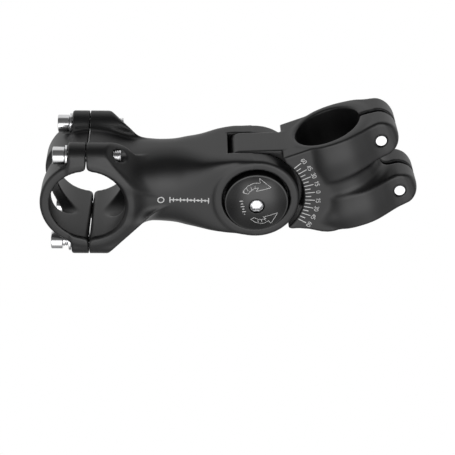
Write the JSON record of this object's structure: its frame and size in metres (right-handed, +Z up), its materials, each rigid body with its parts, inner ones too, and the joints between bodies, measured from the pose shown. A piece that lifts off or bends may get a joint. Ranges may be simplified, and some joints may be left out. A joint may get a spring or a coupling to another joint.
{
  "type": "adjustable handlebar stem",
  "caption": "Angle-adjustable threadless bicycle stem: bolted handlebar clamp on a forged arm that pitches on a toothed pivot behind a split steerer clamp.",
  "frame": {"origin": "on the steerer axis, at the steerer clamp's lower face", "axes": "+Z up along the steerer axis, -X towards the handlebar, Y along the handlebar; at rest the arm is 21.6 degrees above square to the steerer, as it was pictured"},
  "size_m": [0.1556, 0.0458, 0.0806],
  "materials": {
    "black_anodised": "black satin anodised over a fine blasted grain",
    "gloss_black_cap": "smooth black anodised, semi-gloss",
    "bright_steel": "bright nickel-plated steel",
    "dark_steel": "hardened, oiled",
    "bush_polymer": "moulded acetal"
  },
  "bodies": {
    "steerer_section": {"steerer_clamp": "black_anodised", "tongue_lock_ring_near": "dark_steel", "tongue_lock_ring_far": "dark_steel", "pivot_bush": "bush_polymer"},
    "arm": {"stem_body": "black_anodised", "arm_lock_ring_near": "dark_steel", "arm_lock_ring_far": "dark_steel", "pivot_cap": "gloss_black_cap", "pivot_nut": "bright_steel", "pivot_nut_cap": "gloss_black_cap"},
    "faceplate": {"bar_faceplate": "black_anodised", "bar_clamp_washer_upper_near": "bright_steel", "bar_clamp_washer_upper_far": "bright_steel", "bar_clamp_washer_lower_near": "bright_steel", "bar_clamp_washer_lower_far": "bright_steel"},
    "bar_bolt_upper_near": {"bar_clamp_bolt_upper_near": "bright_steel"},
    "bar_bolt_upper_far": {"bar_clamp_bolt_upper_far": "bright_steel"},
    "bar_bolt_lower_near": {"bar_clamp_bolt_lower_near": "bright_steel"},
    "bar_bolt_lower_far": {"bar_clamp_bolt_lower_far": "bright_steel"},
    "steerer_washer_upper": {"steerer_washer_upper": "bright_steel"},
    "steerer_bolt_upper": {"steerer_bolt_upper": "bright_steel"},
    "steerer_washer_lower": {"steerer_washer_lower": "bright_steel"},
    "steerer_bolt_lower": {"steerer_bolt_lower": "bright_steel"},
    "pivot_washer": {"pivot_washer": "bright_steel"},
    "pivot_bolt": {"pivot_bolt": "bright_steel"}
  },
  "joints": [
    {"name": "stem_pitch", "type": "hinge", "parent": "steerer_section", "child": "arm", "pos_m": [-0.0374, 0, 0.028], "axis": [0, 1, 0], "range_deg": [-70, 38.4]},
    {"name": "faceplate_slide", "type": "slide", "parent": "arm", "child": "faceplate", "axis": [-0.9298, 0, 0.3681], "range_m": [0, 0.0144]},
    {"name": "bar_bolt_turn_upper_near", "type": "hinge", "parent": "faceplate", "child": "bar_bolt_upper_near", "pos_m": [-0.09627, -0.0146, 0.07217], "axis": [-0.9298, 0, 0.3681], "range_deg": [0, 6480]},
    {"name": "bar_bolt_turn_upper_far", "type": "hinge", "parent": "faceplate", "child": "bar_bolt_upper_far", "pos_m": [-0.09627, 0.0146, 0.07217], "axis": [-0.9298, 0, 0.3681], "range_deg": [0, 6480]},
    {"name": "bar_bolt_turn_lower_near", "type": "hinge", "parent": "faceplate", "child": "bar_bolt_lower_near", "pos_m": [-0.11144, -0.0146, 0.03387], "axis": [-0.9298, 0, 0.3681], "range_deg": [0, 6480]},
    {"name": "bar_bolt_turn_lower_far", "type": "hinge", "parent": "faceplate", "child": "bar_bolt_lower_far", "pos_m": [-0.11144, 0.0146, 0.03387], "axis": [-0.9298, 0, 0.3681], "range_deg": [0, 6480]},
    {"name": "steerer_washer_slide_upper", "type": "slide", "parent": "steerer_section", "child": "steerer_washer_upper", "axis": [0, 1, 0], "range_m": [0, 0.0112]},
    {"name": "steerer_bolt_turn_upper", "type": "hinge", "parent": "steerer_washer_upper", "child": "steerer_bolt_upper", "pos_m": [0.0201, 0, 0.0332], "axis": [0, 1, 0], "range_deg": [0, 5040]},
    {"name": "steerer_washer_slide_lower", "type": "slide", "parent": "steerer_section", "child": "steerer_washer_lower", "axis": [0, 1, 0], "range_m": [0, 0.0112]},
    {"name": "steerer_bolt_turn_lower", "type": "hinge", "parent": "steerer_washer_lower", "child": "steerer_bolt_lower", "pos_m": [0.0203, 0, 0.0076], "axis": [0, 1, 0], "range_deg": [0, 5040]},
    {"name": "pivot_washer_slide", "type": "slide", "parent": "arm", "child": "pivot_washer", "axis": [0, -1, 0], "range_m": [0, 0.00083]},
    {"name": "pivot_bolt_turn", "type": "hinge", "parent": "pivot_washer", "child": "pivot_bolt", "pos_m": [-0.0374, 0, 0.028], "axis": [0, -1, 0], "range_deg": [0, 240]}
  ],
  "couplings": [
    {"joint": "bar_bolt_turn_upper_near", "follows": "faceplate_slide", "rad_per_m": 7854},
    {"joint": "bar_bolt_turn_upper_far", "follows": "faceplate_slide", "rad_per_m": 7854},
    {"joint": "bar_bolt_turn_lower_near", "follows": "faceplate_slide", "rad_per_m": 7854},
    {"joint": "bar_bolt_turn_lower_far", "follows": "faceplate_slide", "rad_per_m": 7854},
    {"joint": "steerer_bolt_turn_upper", "follows": "steerer_washer_slide_upper", "rad_per_m": 7854},
    {"joint": "steerer_bolt_turn_lower", "follows": "steerer_washer_slide_lower", "rad_per_m": 7854},
    {"joint": "pivot_bolt_turn", "follows": "pivot_washer_slide", "rad_per_m": 5026.5}
  ]
}
